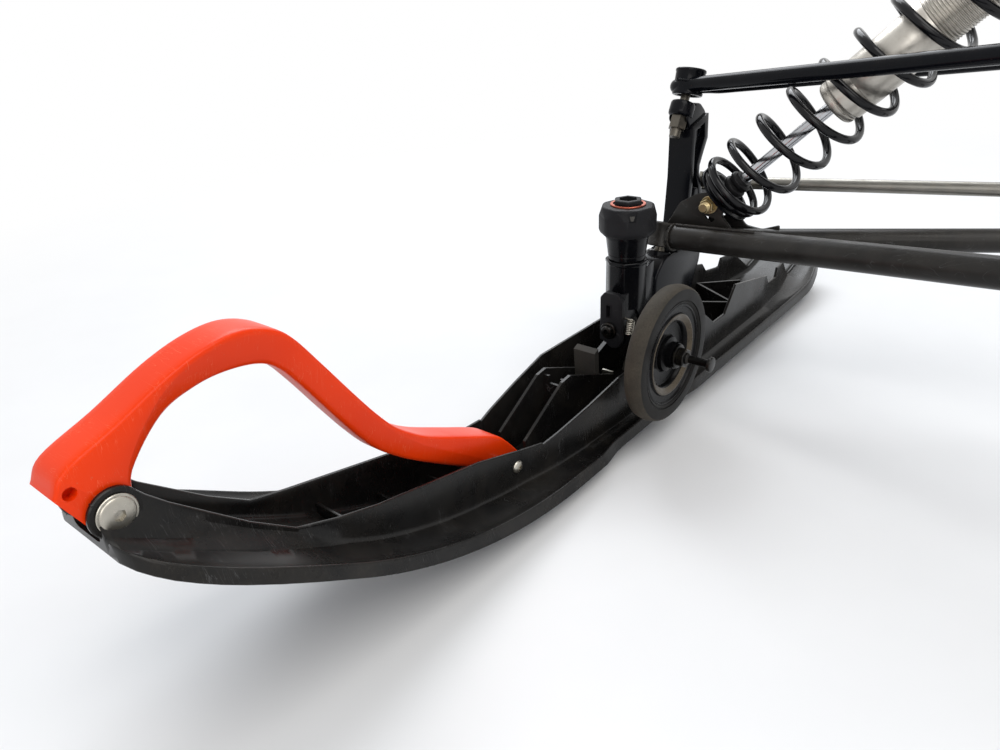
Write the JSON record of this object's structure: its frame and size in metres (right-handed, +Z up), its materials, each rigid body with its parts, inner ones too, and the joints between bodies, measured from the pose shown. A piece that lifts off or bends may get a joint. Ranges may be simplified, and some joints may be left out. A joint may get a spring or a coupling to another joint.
{
  "type": "snowmobile front ski and suspension corner",
  "caption": "Right-hand front ski of a snowmobile with its spindle, double A-arms, coil-over shock, tie rod and a fold-down transport wheel.",
  "frame": {"origin": "centre of the lower A-arm's front chassis pivot bush", "axes": "+X forward to the ski's tip, +Y inboard to the vehicle, +Z up, ski at rest on level ground"},
  "size_m": [1.0899, 0.52, 0.5375],
  "materials": {
    "black_paint": "gloss black paint",
    "black_plastic": "moulded satin",
    "bright_steel": "polished",
    "bare_aluminium": "satin",
    "zinc_steel": "zinc plated",
    "soft_rubber": "matte",
    "red_plastic": "gloss",
    "wheel_tread": "dusty matte"
  },
  "bodies": {
    "suspension": {"lower_arm": "black_paint", "upper_arm": "black_paint", "lower_bush_front": "black_plastic", "lower_bush_rear": "black_plastic", "upper_bush_front": "black_plastic", "upper_bush_rear": "black_plastic", "lower_joint_race": "black_plastic", "upper_joint_race": "black_plastic", "shock_rod": "bright_steel", "shock_spring_seat": "black_paint", "shock_bump_stop": "soft_rubber", "shock_body": "bare_aluminium", "shock_top_bush": "black_plastic", "shock_preload_ring": "black_paint", "shock_spring": "black_paint", "shock_bolt": "zinc_steel"},
    "steering": {"spindle": "black_paint", "upper_ball_stud": "zinc_steel", "lower_ball_stud": "zinc_steel", "adjuster_column": "black_paint", "adjuster_collar": "black_plastic", "adjuster_knob": "black_plastic", "adjuster_hex": "zinc_steel", "adjuster_lever": "zinc_steel", "adjuster_bolt": "zinc_steel", "tie_rod_bolt": "zinc_steel"},
    "tie_rod": {"tie_rod_tube": "bare_aluminium", "tie_rod_outer_end": "zinc_steel", "tie_rod_inner_end": "zinc_steel"},
    "ski": {"ski_pan": "black_plastic", "ski_wall_inboard": "black_plastic", "ski_wall_outboard": "black_plastic", "ski_cheek_inboard": "black_plastic", "ski_cheek_outboard": "black_plastic", "ski_box": "black_plastic", "ski_truss": "black_plastic", "ski_runner": "bright_steel", "ski_loop": "red_plastic", "ski_bolt": "bright_steel", "loop_nose_bolt": "bright_steel", "loop_rear_screw": "zinc_steel", "ski_rubber": "soft_rubber", "stop_plate": "soft_rubber", "zinc_bracket": "zinc_steel", "wheel_bracket": "zinc_steel"},
    "wheel_arm": {"wheel_crank": "zinc_steel"},
    "transport_wheel": {"wheel_rim": "black_plastic", "wheel_tyre": "wheel_tread"}
  },
  "joints": [
    {"name": "steer", "type": "hinge", "parent": "suspension", "child": "steering", "pos_m": [-0.072, -0.43, -0.042], "axis": [-0.2755, 0, 0.9613], "range_deg": [-28, 28]},
    {"name": "tie_rod_swing", "type": "hinge", "parent": "steering", "child": "tie_rod", "pos_m": [-0.173, -0.43, -0.004], "axis": [-0.2755, 0, 0.9613], "range_deg": [-28, 28]},
    {"name": "ski_pitch", "type": "hinge", "parent": "steering", "child": "ski", "pos_m": [-0.06, -0.43, -0.156], "axis": [0, 1, 0], "range_deg": [-14, 14]},
    {"name": "wheel_swing", "type": "hinge", "parent": "ski", "child": "wheel_arm", "pos_m": [0.0348, -0.43, -0.13779], "axis": [0, 1, 0], "range_deg": [0, 60]},
    {"name": "wheel_spin", "type": "hinge", "parent": "wheel_arm", "child": "transport_wheel", "pos_m": [0.0692, -0.345, -0.1137], "axis": [0, 1, 0], "continuous": true}
  ],
  "couplings": [
    {"joint": "tie_rod_swing", "follows": "steer", "ratio": -1}
  ]
}
